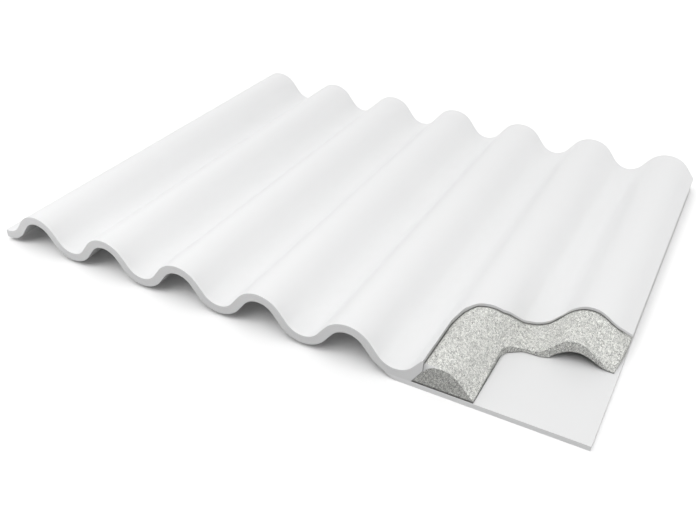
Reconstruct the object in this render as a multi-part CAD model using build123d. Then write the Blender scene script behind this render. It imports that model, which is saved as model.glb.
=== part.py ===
"""Corrugated plastic roof sheet sample: a waved top sheet, an insulation core and a flat base sheet.

Millimetres, Z up. X runs across the waves and Y along them, from the front edge to the far edge. The
origin lies under the middle of the sample, on the plane of the base sheet's underside. The front right
corner is cut away in steps, so that the core shows under the top sheet and the base shows under the core.
"""

import os
from math import asin, atan2, cos, radians, sin, sqrt, tan

from build123d import *

# Top sheet: each wave has round crests and troughs, joined by straight flanks
pitch = 146.0
wave_count = 7
wave_depth = 45.2
flank = 19.06
sheet_length = 754.0
left_margin = 74.0
right_margin = 50.2
wall = 12.7

# Base sheet
base_thickness = 8.0
base_setback = 100.0

# Core: the top sheet is only a skin over it, thicker on the crests than in the troughs
cored_waves = 2
skin_crest = 7.7
skin_trough = 4.8
core_setback = 3.0
core_inset = 9.0
glue_gap = 0.1

# Arch below the last wave of the core
arch_left = 37.0
arch_right = 32.0
arch_crown = 18.0

# Exposed core: it was scooped lower towards the front edge, with a rounded crown and straight flanks below
# each of the two waves. The shoulder below the last wave rises faster, and its height is given at its place
# back from the front edge
scoop_slope = 0.1
scoop_trough = 2.3
dome_shift = 8.0
dome_height = 38.3
dome_left_radius = 47.0
dome_right_radius = 36.0
dome_flank = 48.0
shoulder_slope = 0.3
shoulder_place = 142.0
shoulder_shift = 13.5
shoulder_height = 36.2
shoulder_radius = 28.0
shoulder_flank = 36.0
shoulder_right = 43.8

# Cut-away corner: places across the waves count from the crest of the first cored wave, and places along
# them from the front edge
sheet_cut_radius = 20.0
sheet_cut_places = (
    (-35.6, 96.4),
    (-20.4, 132.1),
    (27.7, 147.5),
    (61.3, 189.8),
    (96.4, 215.0),
    (172.0, 190.5),
    (198.6, 218.0),
)
core_cut_radius = 24.0
core_cut_places = ((41.0, 123.0), (82.0, 133.0), (191.3, 149.4))

# Derived sizes
width = left_margin + (wave_count - 1) * pitch + right_margin
left_edge = -width / 2
right_edge = width / 2
front_edge = -sheet_length / 2
far_edge = sheet_length / 2
first_crest = left_edge + left_margin
last_crest = first_crest + (wave_count - 1) * pitch
core_crest = first_crest + (wave_count - cored_waves) * pitch
seam = core_crest - pitch / 2
outside = 60.0


class Wave:
    """One face of a wave of arcs and straight flanks, lifted square to its middle line."""

    def __init__(self, depth, trough_height, lift):
        bend = ((pitch / 2) ** 2 + depth**2 - flank**2) / (4 * depth)
        self.angle = atan2(pitch / 2, 2 * bend - depth) - atan2(flank, 2 * bend)
        self.crest_radius = bend + lift
        self.trough_radius = bend - lift
        self.crest_half = self.crest_radius * sin(self.angle)
        self.trough_half = self.trough_radius * sin(self.angle)
        self.crest_centre = trough_height + depth - bend
        self.trough_centre = trough_height + bend

    def height(self, x):
        """Height of the face at x."""
        away = crest_distance(x)
        if away <= self.crest_half:
            return self.crest_centre + sqrt(self.crest_radius**2 - away**2)
        short = pitch / 2 - away
        if short <= self.trough_half:
            return self.trough_centre - sqrt(self.trough_radius**2 - short**2)
        flank_top = self.crest_centre + self.crest_radius * cos(self.angle)
        return flank_top - (away - self.crest_half) * tan(self.angle)

    def place(self, x):
        """Point of the face at x, in the plane of the front edge."""
        return point(x, self.height(x))

    def line(self, start, end):
        """Arcs and flanks of the face from start to end, left to right."""
        stops = [start, end]
        for index in range(-1, wave_count + 1):
            crest = first_crest + index * pitch
            trough = crest + pitch / 2
            for middle, half in ((crest, self.crest_half), (trough, self.trough_half)):
                for stop in (middle - half, middle + half):
                    if start + 0.01 < stop < end - 0.01:
                        stops.append(stop)
        stops.sort()
        edges = []
        for near, far in zip(stops, stops[1:]):
            half = (near + far) / 2
            if self.crest_half < crest_distance(half) < pitch / 2 - self.trough_half:
                edges.append(Line(self.place(near), self.place(far)))
            else:
                edges.append(ThreePointArc(self.place(near), self.place(half), self.place(far)))
        return edges


def crest_distance(x):
    """Distance of x from the nearest crest."""
    return abs((x - first_crest + pitch / 2) % pitch - pitch / 2)


def point(x, z):
    """Point of the cross-section in the plane of the front edge."""
    return (x, front_edge, z)


def stretched(edges, depth, direction=(0, 1, 0)):
    """Solid made by carrying a closed cross-section along the waves."""
    return extrude(make_face(edges), amount=depth, dir=direction)


def corner_cut(places, radius):
    """Upright block over the cut-away corner, with a rounded outline that passes the given places."""
    outline = [(core_crest + x, front_edge + y) for x, y in places]
    start = (outline[0][0], front_edge - outside)
    last_x, last_y = outline[-1]
    before_x, before_y = outline[-2]
    slope = (last_y - before_y) / (last_x - before_x)
    end_x = right_edge + outside
    end = (end_x, last_y + slope * (end_x - last_x))
    line = FilletPolyline(start, *outline[:-1], end, radius=radius)
    close = Polyline(end, (end_x, front_edge - outside), start)
    return extrude(make_face([line, close]), amount=4 * pitch, dir=(0, 0, 1))


# Top sheet: a thick wall where the waves stand open, a thinner skin where the core backs it, and between the
# two a flat foot on the base, below the trough at the seam
sheet_seat = base_thickness + glue_gap + wall / 2
sheet_top = Wave(wave_depth, sheet_seat, wall / 2)
wall_under = Wave(wave_depth, sheet_seat, -wall / 2)
core_seat = sheet_seat + wall / 2 - skin_trough
core_depth = wave_depth + skin_trough - skin_crest
core_top = Wave(core_depth, core_seat, 0.0)
skin_under = Wave(core_depth, core_seat, glue_gap)
step_start = seam + 0.17 * pitch
step_end = seam + 0.25 * pitch
foot_reach = min(0.17 * pitch, 0.9 * wall_under.trough_half)
foot_angle = asin(foot_reach / wall_under.trough_radius)
foot_left = seam - wall_under.trough_radius * tan(foot_angle / 2)
foot_z = base_thickness + glue_gap
sheet_edges = sheet_top.line(left_edge, right_edge)
sheet_edges.append(Line(sheet_top.place(right_edge), skin_under.place(right_edge)))
sheet_edges += skin_under.line(step_end, right_edge)
sheet_edges.append(Line(skin_under.place(step_end), point(step_start, foot_z)))
sheet_edges.append(Line(point(step_start, foot_z), point(foot_left, foot_z)))
sheet_edges.append(Line(point(foot_left, foot_z), wall_under.place(seam - foot_reach)))
sheet_edges += wall_under.line(left_edge, seam - foot_reach)
sheet_edges.append(Line(wall_under.place(left_edge), sheet_top.place(left_edge)))
top_sheet = stretched(sheet_edges, sheet_length) - corner_cut(sheet_cut_places, sheet_cut_radius)

# Base sheet: held back from the front edge under the open waves, flush with it under the core, where its left
# end sweeps up to the foot of the top sheet
toe_radius = base_thickness / (1 - cos(foot_angle))
toe_start = foot_left + toe_radius * sin(foot_angle)
toe_middle = point(toe_start - toe_radius * sin(foot_angle / 2), toe_radius * (1 - cos(foot_angle / 2)))
tongue_edges = [
    Line(point(foot_left, base_thickness), point(right_edge, base_thickness)),
    Line(point(right_edge, base_thickness), point(right_edge, 0)),
    Line(point(right_edge, 0), point(toe_start, 0)),
    ThreePointArc(point(toe_start, 0), toe_middle, point(foot_left, base_thickness)),
]
slab_outline = Polyline(
    (left_edge, front_edge + base_setback),
    (right_edge, front_edge + base_setback),
    (right_edge, far_edge),
    (left_edge, far_edge),
    close=True,
)
base_slab = extrude(make_face(slab_outline), amount=base_thickness, dir=(0, 0, 1))
base_sheet = base_slab + stretched(tongue_edges, base_setback)

# Core: solid under the first cored wave, arched under the last one
seat = base_thickness
core_left = step_start + glue_gap
core_right = right_edge - core_inset
core_join = step_end + glue_gap
arch_left_foot = last_crest - arch_left
arch_right_foot = last_crest + arch_right
core_edges = core_top.line(core_join, core_right)
core_edges.append(Line(core_top.place(core_right), point(core_right, seat)))
core_edges.append(Line(point(core_right, seat), point(arch_right_foot, seat)))
core_edges.append(
    ThreePointArc(
        point(arch_right_foot, seat),
        point((arch_left_foot + arch_right_foot) / 2, seat + arch_crown),
        point(arch_left_foot, seat),
    )
)
core_edges.append(Line(point(arch_left_foot, seat), point(core_left, seat)))
core_edges.append(Line(point(core_left, seat), core_top.place(core_join)))
full_core = stretched(core_edges, sheet_length)

# Scoop: everything of the core below a rounded profile that rises from the front edge
deep = -sheet_length
dome_x = core_crest - dome_shift
dome_top = seat + dome_height
dome_left = dome_x - dome_left_radius
shoulder_x = last_crest - shoulder_shift
shoulder_top = seat + shoulder_height - shoulder_slope * shoulder_place
shoulder_end = last_crest + shoulder_right
valley_z = seat - scoop_trough


def crown(x, top, radius, angle):
    """Point of a rounded crown where it slopes by this angle, to the right or, if negative, to the left."""
    return point(x + radius * sin(radians(angle)), top - radius * (1 - cos(radians(angle))))


def flank_foot(start, angle, z):
    """Point at this height on a straight flank that falls from start, to the right or to the left."""
    return point(start[0] + (start[2] - z) / tan(radians(angle)), z)


dome_side = crown(dome_x, dome_top, dome_right_radius, dome_flank)
dome_foot = flank_foot(dome_side, dome_flank, valley_z)
shoulder_near = crown(shoulder_x, shoulder_top, shoulder_radius, -shoulder_flank)
shoulder_far = crown(shoulder_x, shoulder_top, shoulder_radius, shoulder_flank)
shoulder_start = shoulder_near[0] - (shoulder_end - shoulder_far[0])
shoulder_low = shoulder_far[2] - (shoulder_end - shoulder_far[0]) * tan(radians(shoulder_flank))
dome_edges = [
    ThreePointArc(
        crown(dome_x, dome_top, dome_left_radius, -90),
        crown(dome_x, dome_top, dome_left_radius, -45),
        crown(dome_x, dome_top, dome_left_radius, 0),
    ),
    ThreePointArc(
        crown(dome_x, dome_top, dome_right_radius, 0),
        crown(dome_x, dome_top, dome_right_radius, dome_flank / 2),
        dome_side,
    ),
    Line(dome_side, dome_foot),
    Line(dome_foot, point(shoulder_x, valley_z)),
    Line(point(shoulder_x, valley_z), point(shoulder_x, deep)),
    Line(point(shoulder_x, deep), point(dome_left, deep)),
    Line(point(dome_left, deep), crown(dome_x, dome_top, dome_left_radius, -90)),
]
shoulder_edges = [
    Line(point(shoulder_start, shoulder_low), shoulder_near),
    ThreePointArc(shoulder_near, crown(shoulder_x, shoulder_top, shoulder_radius, 0), shoulder_far),
    Line(shoulder_far, point(shoulder_end, shoulder_low)),
    Line(point(shoulder_end, shoulder_low), point(shoulder_end, deep)),
    Line(point(shoulder_end, deep), point(shoulder_start, deep)),
    Line(point(shoulder_start, deep), point(shoulder_start, shoulder_low)),
]
scooped = stretched(dome_edges, 1.1 * sheet_length, (0, 1, scoop_slope))
scooped += stretched(shoulder_edges, 1.1 * sheet_length, (0, 1, shoulder_slope))
front_slice = Pos(0, front_edge, 0) * Box(3 * width, 2 * core_setback, 8 * pitch)
core = (full_core & scooped) - corner_cut(core_cut_places, core_cut_radius) - front_slice

os.makedirs("parts", exist_ok=True)
export_step(top_sheet, "parts/corrugated_top_sheet.step")
export_step(core, "parts/insulation_core.step")
export_step(base_sheet, "parts/flat_base_sheet.step")
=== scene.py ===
"""Corrugated plastic roof sheet sample with a cut-away corner: waved top sheet, granular core, flat base.

Metres, Z up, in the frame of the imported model. X runs across the waves and Y along them.
"""

import math

import bmesh
import bpy
import numpy as np
from mathutils import Matrix, Vector
from mathutils.kdtree import KDTree


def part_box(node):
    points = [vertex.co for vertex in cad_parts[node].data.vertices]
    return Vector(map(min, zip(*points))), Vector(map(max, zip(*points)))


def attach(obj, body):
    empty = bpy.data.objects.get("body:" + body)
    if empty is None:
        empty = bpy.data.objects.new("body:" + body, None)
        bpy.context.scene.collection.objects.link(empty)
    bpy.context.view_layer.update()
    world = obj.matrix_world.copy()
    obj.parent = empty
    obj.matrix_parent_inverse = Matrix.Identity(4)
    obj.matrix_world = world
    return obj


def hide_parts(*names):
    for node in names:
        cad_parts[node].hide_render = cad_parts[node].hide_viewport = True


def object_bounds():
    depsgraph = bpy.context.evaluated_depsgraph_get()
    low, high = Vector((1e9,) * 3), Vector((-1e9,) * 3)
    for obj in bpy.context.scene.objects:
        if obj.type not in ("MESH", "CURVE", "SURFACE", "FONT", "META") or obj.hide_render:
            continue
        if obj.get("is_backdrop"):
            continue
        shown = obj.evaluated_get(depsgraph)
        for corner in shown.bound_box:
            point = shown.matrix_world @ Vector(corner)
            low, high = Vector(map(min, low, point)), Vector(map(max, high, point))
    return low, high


bl_info = {
    "name": "Corrugated roof sheet sample",
    "version": (1, 0, 0),
    "blender": (4, 5, 0),
    "location": "3D View > Sidebar > Roof sheet",
    "description": "Builds a waved plastic roof sheet with a cut-away corner, its granular core and its base",
    "category": "Add Mesh",
}

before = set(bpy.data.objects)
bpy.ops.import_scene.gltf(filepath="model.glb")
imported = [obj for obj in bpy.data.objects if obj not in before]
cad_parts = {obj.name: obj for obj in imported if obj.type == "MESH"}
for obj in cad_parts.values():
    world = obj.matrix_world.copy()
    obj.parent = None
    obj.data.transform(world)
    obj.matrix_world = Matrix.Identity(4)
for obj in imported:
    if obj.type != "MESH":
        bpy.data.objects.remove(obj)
CAD_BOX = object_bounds()
SHEET_LOW, SHEET_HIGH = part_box("corrugated_top_sheet")
CORE_LOW, CORE_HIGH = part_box("insulation_core")
BASE_LOW, BASE_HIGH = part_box("flat_base_sheet")
MM = 0.001

# Points on a rounded corner
BEND_POINTS = 9

# How far the outline of a cut runs on past the sheet, before it is trimmed
OVERRUN = 0.06

# Mesh of the top sheet: spacing of its columns, spacing of its front rows and number of its other rows
SHEET_STEP = 0.0026
SHEET_ROW = 0.025
SHEET_ROWS = 25

# From the seam to the ends of the sheet's flat foot and of its step up, as shares of the pitch
FOOT_SHARE = 0.17
STEP_SHARE = 0.25

# Where the sheet's thicker skin starts and ends to fade, left of the first cored crest
SIDE_START = 0.030
SIDE_END = 0.008

# Length over which the thicker front edge runs out beside the foot
FRONT_FADE = 0.02

# Soft lamps: name, degrees round from the front towards the right, degrees up, strength, metres away or 0
LAMPS = (
    ("lamp_front_high", 0, 58, 1.106, 0.0),
    ("lamp_above", 0, 90, 0.430, 0.0),
    ("lamp_right", 90, 28, 0.380, 0.0),
    ("lamp_left", 270, 28, 0.198, 0.0),
    ("lamp_back_left", 225, 28, 0.157, 0.0),
    ("near_lamp_front", 0, 58, 1.651, 1.3),
    ("near_lamp_front_left", 318, 28, 0.405, 1.0),
    ("near_lamp_right", 90, 28, 0.567, 1.3),
)

# Corners of the two cuts in millimetres, across from the first cored crest and back from the front edge
SHEET_CUT = (
    (-32.3, 98.0),
    (-24.0, 122.0),
    (-8.0, 135.5),
    (26.0, 147.5),
    (58.0, 184.5),
    (82.0, 202.5),
    (98.5, 221.0),
    (114.0, 209.5),
    (146.0, 201.8),
    (174.0, 190.5),
    (196.2, 217.0),
)
CORE_CUT = ((41.2, 106.0), (47.0, 118.0), (66.0, 131.0), (92.0, 132.3), (106.0, 137.5), (190.0, 148.3))


def size(name, description, default):
    """A length that the user can change."""
    return bpy.props.FloatProperty(
        name=name, description=description, default=default, unit="LENGTH", subtype="DISTANCE", precision=4
    )


def amount(name, description, default):
    """A plain number that the user can change."""
    return bpy.props.FloatProperty(name=name, description=description, default=default, precision=3)


def colour(name, description, default):
    """A colour that the user can change."""
    return bpy.props.FloatVectorProperty(
        name=name, description=description, default=default, size=3, subtype="COLOR", min=0.0, max=1.0
    )


class SheetSettings(bpy.types.PropertyGroup):
    """Sizes and finish of the waved top sheet."""

    pitch: size("Pitch", "Distance from crest to crest", 0.146)
    depth: size("Depth", "Height of the waves on the middle line of the wall", 0.0452)
    flank: size("Flank", "Straight part between a crest and a trough", 0.01906)
    wall: size("Wall", "Thickness of the sheet where the waves stand open", 0.0127)
    left_reach: size("Left reach", "How far the left edge stands out past the base", 0.005)
    left_margin: size("Left margin", "From the left edge to the first crest", 0.074)
    waves: bpy.props.IntProperty(name="Waves", description="Number of crests", default=7)
    skin_crest: size("Skin on crests", "Thickness over the core, on the crests", 0.0050)
    skin_trough: size("Skin in troughs", "Thickness over the core, in the troughs", 0.0042)
    skin_side: size("Skin beside the cut", "Extra thickness left of the first cored crest", 0.0036)
    glue_gap: size("Glue gap", "Thickness of the bond to the core and to the base", 0.0001)
    cut_radius: size("Cut radius", "Rounding of the cut-away corner's outline", 0.014)
    # Painted shade: share by which the side faces of the cut-away corner are drawn darker
    painted_shading_scale: amount("Cut tint", "How much darker the sawn faces of that corner are", 0.24)
    front_extra: size("Front thickening", "Extra thickness below the front edge of the open waves", 0.0013)
    front_taper: size("Front taper", "How far back the extra thickness runs out", 0.095)
    edge: size("Edge rounding", "Radius of the eased edges", 0.0007)
    lip_depth: size("Lip depth", "Depth of the thick front lip beside the core", 0.0024)
    lip_slope: amount("Lip slope", "Rise of the lip's lower edge beside the core", 1.5)
    tone: colour("Tone", "Colour of the white plastic", (0.86, 0.862, 0.864))


class CoreSettings(bpy.types.PropertyGroup):
    """Sizes and finish of the granular core."""

    cored_waves: bpy.props.IntProperty(name="Cored waves", description="Waves with a core below", default=2)
    arch_shift: size("Arch shift", "Top of the arch, left of the last crest", 0.009)
    arch_left: size("Arch left", "From the top of the arch to its left foot", 0.034)
    arch_right: size("Arch right", "From the top of the arch to its right foot", 0.049)
    arch_crown: size("Arch crown", "Height of the arch below the last wave", 0.0195)
    scoop_slope: amount("Scoop slope", "Rise of the scooped surface from the front edge", 0.1)
    scoop_trough: size("Scoop trough", "Depth of the scooped valley below the base at the front edge", 0.0049)
    scoop_bank: size("Scoop bank", "Rise of that valley beside the core's own cut", 0.0065)
    scoop_fall: size("Scoop fall", "Fall of the scoop at the right edge", 0.0075)
    dome_shift: size("Dome shift", "Top of the scooped dome, left of the first cored crest", 0.008)
    dome_height: size("Dome height", "Top of the dome above the base at the front edge", 0.0383)
    dome_left_radius: size("Dome left radius", "Radius of the dome left of its top", 0.047)
    dome_right_radius: size("Dome right radius", "Radius of the dome right of its top", 0.036)
    dome_flank: amount("Dome flank", "Slope of the dome's right flank in degrees", 48.0)
    worn_radius: size("Worn radius", "Radius of the dome's left side on the worn front edge", 0.027)
    worn_flank: amount("Worn flank", "Slope of that side's flank in degrees", 56.0)
    worn_depth: size("Worn depth", "How far back the front edge is worn", 0.003)
    shoulder_shift: size("Shoulder shift", "Top of the last rise, left of the last crest", 0.014)
    shoulder_height: size("Shoulder height", "Top of the last rise above the base at the front edge", 0.024)
    shoulder_radius: size("Shoulder radius", "Radius of the top of the last rise", 0.029)
    shoulder_flank: amount("Shoulder flank", "Slope of the last rise's flanks in degrees", 42.0)
    rim_reach: size("Rim reach", "How far from the top sheet's edge the scoop starts to fall", 0.045)
    # Painted shade: dark lines along the top sheet's edge and at the foot of the core's faces, and how much
    # darker the side faces other than the front one are drawn
    rim_line: size("Rim line", "Width of the dark line along the top sheet's edge", 0.0030)
    foot_line: size("Foot line", "Height of the dark line along the foot of the cut faces", 0.0020)
    front_line: size("Front line", "Height of the dark line along the foot of the front face", 0.0034)
    arch_shade: amount("Arch shade", "How much darker the face with the arch is than the front one", 0.12)
    front_reach: size("Front reach", "How far the front face stands before the solid core", 0.0024)
    cut_radius: size("Cut radius", "Rounding of the core's own cut", 0.016)
    mesh_step: size("Mesh step", "Spacing of the points on the open faces", 0.00078)
    grain: size("Grain", "Size of the granules", 0.0021)
    relief: size("Relief", "Depth of the joints between the granules", 0.0005)
    seed: bpy.props.IntProperty(name="Seed", description="Order of the granules", default=4)
    pale: colour("Pale granules", "Colour of the palest granules", (0.975, 0.98, 0.938))
    grey: colour("Grey granules", "Colour of the greyest granules", (0.83, 0.833, 0.80))
    joint: colour("Joints", "Colour of the joints between the granules", (0.03, 0.03, 0.03))


class BaseSettings(bpy.types.PropertyGroup):
    """Sizes and finish of the flat base sheet."""

    setback: size("Setback", "Step back of the front edge under the open waves", 0.100)
    tip: size("Toe tip", "Thickness of the swept-up toe at its tip", 0.0012)
    edge: size("Edge rounding", "Radius of the eased edges", 0.0005)
    foot: size("Foot rounding", "Radius of the eased edges on the floor", 0.0013)
    tone: colour("Tone", "Colour of the white plastic", (0.825, 0.827, 0.829))
    # Painted light: how much paler the base's front face is drawn
    front_painted_light: amount("Front pale", "How much paler the sawn front edge is", 0.15)
    # Painted shadow: how much darker the base's rounded edges on the floor are drawn, as a contact shadow
    foot_painted_shadow: amount("Foot dark", "How much darker the rounded edges on the floor are", 0.45)


class StageSettings(bpy.types.PropertyGroup):
    """Floor, light and camera."""

    floor: colour("Floor", "Colour of the floor as the camera sees it", (1.0, 1.0, 1.0))
    floor_bounce: colour("Floor bounce", "Colour of the floor as the object sees it", (0.25, 0.25, 0.25))
    side_bounce: colour("Side bounce", "The same beside and behind the object", (0.85, 0.85, 0.85))
    # Painted light: the floor's glow for the camera lightens the object's shadow in front and washes it out
    # beside, behind and further in front
    floor_lift: amount("Floor lift", "The floor's own light for the camera, below and before the part", 0.03)
    floor_clear: amount("Floor clear", "The same beside and behind the object", 0.20)
    lamps: amount("Lamps", "Strength of all lamps", 1.0)
    softness: bpy.props.FloatProperty(
        name="Softness", description="Angle over which each lamp spreads", default=0.628, unit="ROTATION"
    )
    near_size: size("Near lamp size", "Width of each lamp that stands near", 0.5)
    sky: amount("Sky light", "Strength of the even light from all round", 0.328)


class RoofSheetSettings(bpy.types.PropertyGroup):
    """All settings of the sample."""

    sheet: bpy.props.PointerProperty(type=SheetSettings)
    core: bpy.props.PointerProperty(type=CoreSettings)
    base: bpy.props.PointerProperty(type=BaseSettings)
    stage: bpy.props.PointerProperty(type=StageSettings)


def eased_step(value, low, high):
    """0 below low, 1 above high and a soft change between."""
    share = min(max((value - low) / (high - low), 0.0), 1.0)
    return share * share * (3.0 - 2.0 * share)


class Wave:
    """One face of the wave, made of arcs and straight flanks and lifted square to its middle line."""

    def __init__(self, sheet, depth, trough, lift, first_crest):
        half = sheet.pitch / 2
        bend = (half**2 + depth**2 - sheet.flank**2) / (4 * depth)
        self.angle = math.atan2(half, 2 * bend - depth) - math.atan2(sheet.flank, 2 * bend)
        self.pitch = sheet.pitch
        self.first_crest = first_crest
        self.crest_radius = bend + lift
        self.trough_radius = bend - lift
        self.crest_half = self.crest_radius * math.sin(self.angle)
        self.trough_half = self.trough_radius * math.sin(self.angle)
        self.crest_centre = trough + depth - bend
        self.trough_centre = trough + bend

    def height(self, x):
        """Height of the face at x."""
        half = self.pitch / 2
        away = abs((x - self.first_crest + half) % self.pitch - half)
        if away <= self.crest_half:
            return self.crest_centre + math.sqrt(self.crest_radius**2 - away**2)
        short = half - away
        if short <= self.trough_half:
            return self.trough_centre - math.sqrt(self.trough_radius**2 - short**2)
        flank_top = self.crest_centre + self.crest_radius * math.cos(self.angle)
        return flank_top - (away - self.crest_half) * math.tan(self.angle)


class Layout:
    """Places that follow from the settings."""

    def __init__(self, settings):
        sheet = settings.sheet
        self.depth = sheet.depth
        self.left = SHEET_LOW.x
        self.right = SHEET_HIGH.x
        self.front = SHEET_LOW.y
        self.far = SHEET_HIGH.y
        self.seat = BASE_HIGH.z
        self.first_crest = self.left + sheet.left_margin
        self.last_crest = self.first_crest + (sheet.waves - 1) * sheet.pitch
        self.core_crest = self.first_crest + (sheet.waves - settings.core.cored_waves) * sheet.pitch
        self.seam = self.core_crest - sheet.pitch / 2
        self.sheet_seat = self.seat + sheet.glue_gap + sheet.wall / 2
        self.skins = (sheet.skin_crest, sheet.skin_trough, sheet.skin_side)
        self.bond = sheet.glue_gap
        self.upper = Wave(sheet, sheet.depth, self.sheet_seat, sheet.wall / 2, self.first_crest)
        self.wall_under = Wave(sheet, sheet.depth, self.sheet_seat, -sheet.wall / 2, self.first_crest)
        self.trough_level = self.sheet_seat + sheet.wall / 2
        self.side_start = self.core_crest - SIDE_START
        self.side_end = self.core_crest - SIDE_END
        self.step_start = self.seam + FOOT_SHARE * sheet.pitch
        self.step_end = self.seam + STEP_SHARE * sheet.pitch
        self.foot_level = self.seat + sheet.glue_gap
        self.foot_start = self.seam - FOOT_SHARE * sheet.pitch
        self.foot_angle = math.asin(FOOT_SHARE * sheet.pitch / self.wall_under.trough_radius)
        self.foot_left = self.seam - self.wall_under.trough_radius * math.tan(self.foot_angle / 2)
        self.sheet_cut = cut_line(SHEET_CUT, sheet.cut_radius, self, self.right)

    def core_top(self, x):
        """Upper face of the core below the skin of the top sheet."""
        crest, trough, side = self.skins
        height = self.upper.height(x)
        share = (height - self.trough_level) / self.depth
        beside = 1.0 - eased_step(x, self.side_start, self.side_end)
        skin = trough + (crest - trough) * share + side * beside
        return height - skin - self.bond


# Plan outlines and flat blanks


def rounded_line(corners, radius):
    """Points along a line through the corners, with every bend rounded."""
    line = [corners[0]]
    for before, corner, after in zip(corners, corners[1:], corners[2:]):
        back = (before - corner).normalized()
        ahead = (after - corner).normalized()
        half = back.angle(ahead) / 2
        reach = radius / math.tan(half)
        centre = corner + (back + ahead).normalized() * (radius / math.sin(half))
        start = (corner + back * reach - centre).normalized()
        end = (corner + ahead * reach - centre).normalized()
        for share in np.linspace(0.0, 1.0, BEND_POINTS):
            line.append(centre + radius * start.slerp(end, float(share)))
    line.append(corners[-1])
    return line


def cut_line(places, radius, layout, right):
    """Outline of a cut from the top of its straight first side to the right edge."""
    corners = [Vector((layout.core_crest + x * MM, layout.front + y * MM, 0.0)) for x, y in places]
    before, last = corners[-2:]
    end_x = layout.right + OVERRUN
    end_y = last.y + (last.y - before.y) / (last.x - before.x) * (end_x - last.x)
    start = Vector((corners[0].x, layout.front - OVERRUN, 0.0))
    line = rounded_line([start, *corners[:-1], Vector((end_x, end_y, 0.0))], radius)[1:]
    kept = [point for point in line if point.x < right]
    beyond = line[len(kept)]
    share = (right - kept[-1].x) / (beyond.x - kept[-1].x)
    kept.append(kept[-1].lerp(beyond, share))
    return np.array([point[:2] for point in kept])


def spaced(line, step):
    """The same line with points about one step apart."""
    runs = np.hypot(*np.diff(line, axis=0).T)
    along = np.concatenate(([0.0], np.cumsum(runs)))
    places = np.linspace(0.0, along[-1], max(2, round(along[-1] / step) + 1))
    return np.stack([np.interp(places, along, line[:, axis]) for axis in (0, 1)], axis=1)


def runs_between(stops, step):
    """Numbers from the first stop to the last, about one step apart, with every stop among them."""
    parts = [np.linspace(a, b, max(2, math.ceil((b - a) / step) + 1))[:-1] for a, b in zip(stops, stops[1:])]
    return np.concatenate([*parts, [stops[-1]]])


class Blank:
    """Flat grid of columns with a cut-away corner: the columns right of the cut start further back."""

    def __init__(self, left_columns, cut, front_rows, back_rows):
        self.columns = np.concatenate((left_columns, cut[1:, 0]))
        self.corner = len(left_columns) - 1
        self.front_count = len(front_rows) - 1
        self.row_count = self.front_count + back_rows.shape[1] - 1
        self.index = -np.ones((len(self.columns), self.row_count + 1), int)
        places = []
        for column, x in enumerate(self.columns):
            for row in range(self.row_count + 1):
                if row < self.front_count and column > self.corner:
                    continue
                if row < self.front_count:
                    y = front_rows[row]
                else:
                    y = back_rows[column, row - self.front_count]
                self.index[column, row] = len(places)
                places.append((x, y))
        self.places = np.array(places)

    def faces(self):
        """Quads of the grid, facing up."""
        quads = []
        for column in range(len(self.columns) - 1):
            first = self.front_count if column >= self.corner else 0
            for row in range(first, self.row_count):
                a, b = self.index[column, row], self.index[column + 1, row]
                c, d = self.index[column + 1, row + 1], self.index[column, row + 1]
                quads.append((a, b, c, d))
        return quads

    def border(self):
        """Points of the outline, counter-clockwise from the front left corner."""
        last = len(self.columns) - 1
        loop = [self.index[c, 0] for c in range(self.corner)]
        loop += [self.index[self.corner, r] for r in range(self.front_count)]
        loop += [self.index[c, self.front_count] for c in range(self.corner, last)]
        loop += [self.index[last, r] for r in range(self.front_count, self.row_count)]
        loop += [self.index[c, self.row_count] for c in range(last, 0, -1)]
        loop += [self.index[0, r] for r in range(self.row_count, 0, -1)]
        return loop


# Node helpers


class Wire:
    """One output in a node tree. Plain signs between wires and numbers add Math nodes."""

    def __init__(self, tree, socket):
        self.tree = tree
        self.socket = socket

    def __add__(self, other):
        return calc("ADD", self, other)

    def __sub__(self, other):
        return calc("SUBTRACT", self, other)

    def __rsub__(self, other):
        return calc("SUBTRACT", other, self)

    def __mul__(self, other):
        return calc("MULTIPLY", self, other)

    def __truediv__(self, other):
        return calc("DIVIDE", self, other)

    def __rtruediv__(self, other):
        return calc("DIVIDE", other, self)

    def __lt__(self, other):
        return calc("LESS_THAN", self, other)

    def __gt__(self, other):
        return calc("GREATER_THAN", self, other)

    def __abs__(self):
        return calc("ABSOLUTE", self)


def feed(tree, socket, value):
    """Joins a socket to a wire, or gives it a fixed value."""
    if isinstance(value, Wire):
        tree.links.new(value.socket, socket)
    else:
        socket.default_value = value


def add_node(tree, kind, inputs=None, **settings):
    """New node with its settings and inputs."""
    node = tree.nodes.new(kind)
    for key, value in settings.items():
        setattr(node, key, value)
    for key, value in (inputs or {}).items():
        feed(tree, node.inputs[key], value)
    return node


def wires(tree, kind, inputs=None, **settings):
    """All outputs of a new node, by name."""
    node = add_node(tree, kind, inputs, **settings)
    return {socket.name: Wire(tree, socket) for socket in node.outputs}


def wire(tree, kind, inputs=None, output=0, **settings):
    """One output of a new node."""
    return Wire(tree, add_node(tree, kind, inputs, **settings).outputs[output])


def calc(operation, *values):
    """Result of a Math node in the tree of the wires among the values."""
    tree = next(value.tree for value in values if isinstance(value, Wire))
    return wire(tree, "ShaderNodeMath", dict(enumerate(values)), operation=operation)


def choose(test, if_true, if_false):
    """The first value where the test is 1, the second where it is 0 and a share of both between."""
    return calc("MULTIPLY_ADD", if_true - if_false, test, if_false)


def soft_step(value, low, high, first=0.0, last=1.0):
    """The first number below low, the last one above high and a soft change between."""
    inputs = {"Value": value, "From Min": low, "From Max": high, "To Min": first, "To Max": last}
    return wire(value.tree, "ShaderNodeMapRange", inputs, interpolation_type="SMOOTHSTEP")


def split(vector):
    """The three numbers of a vector."""
    return wires(vector.tree, "ShaderNodeSeparateXYZ", {0: vector}).values()


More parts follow.
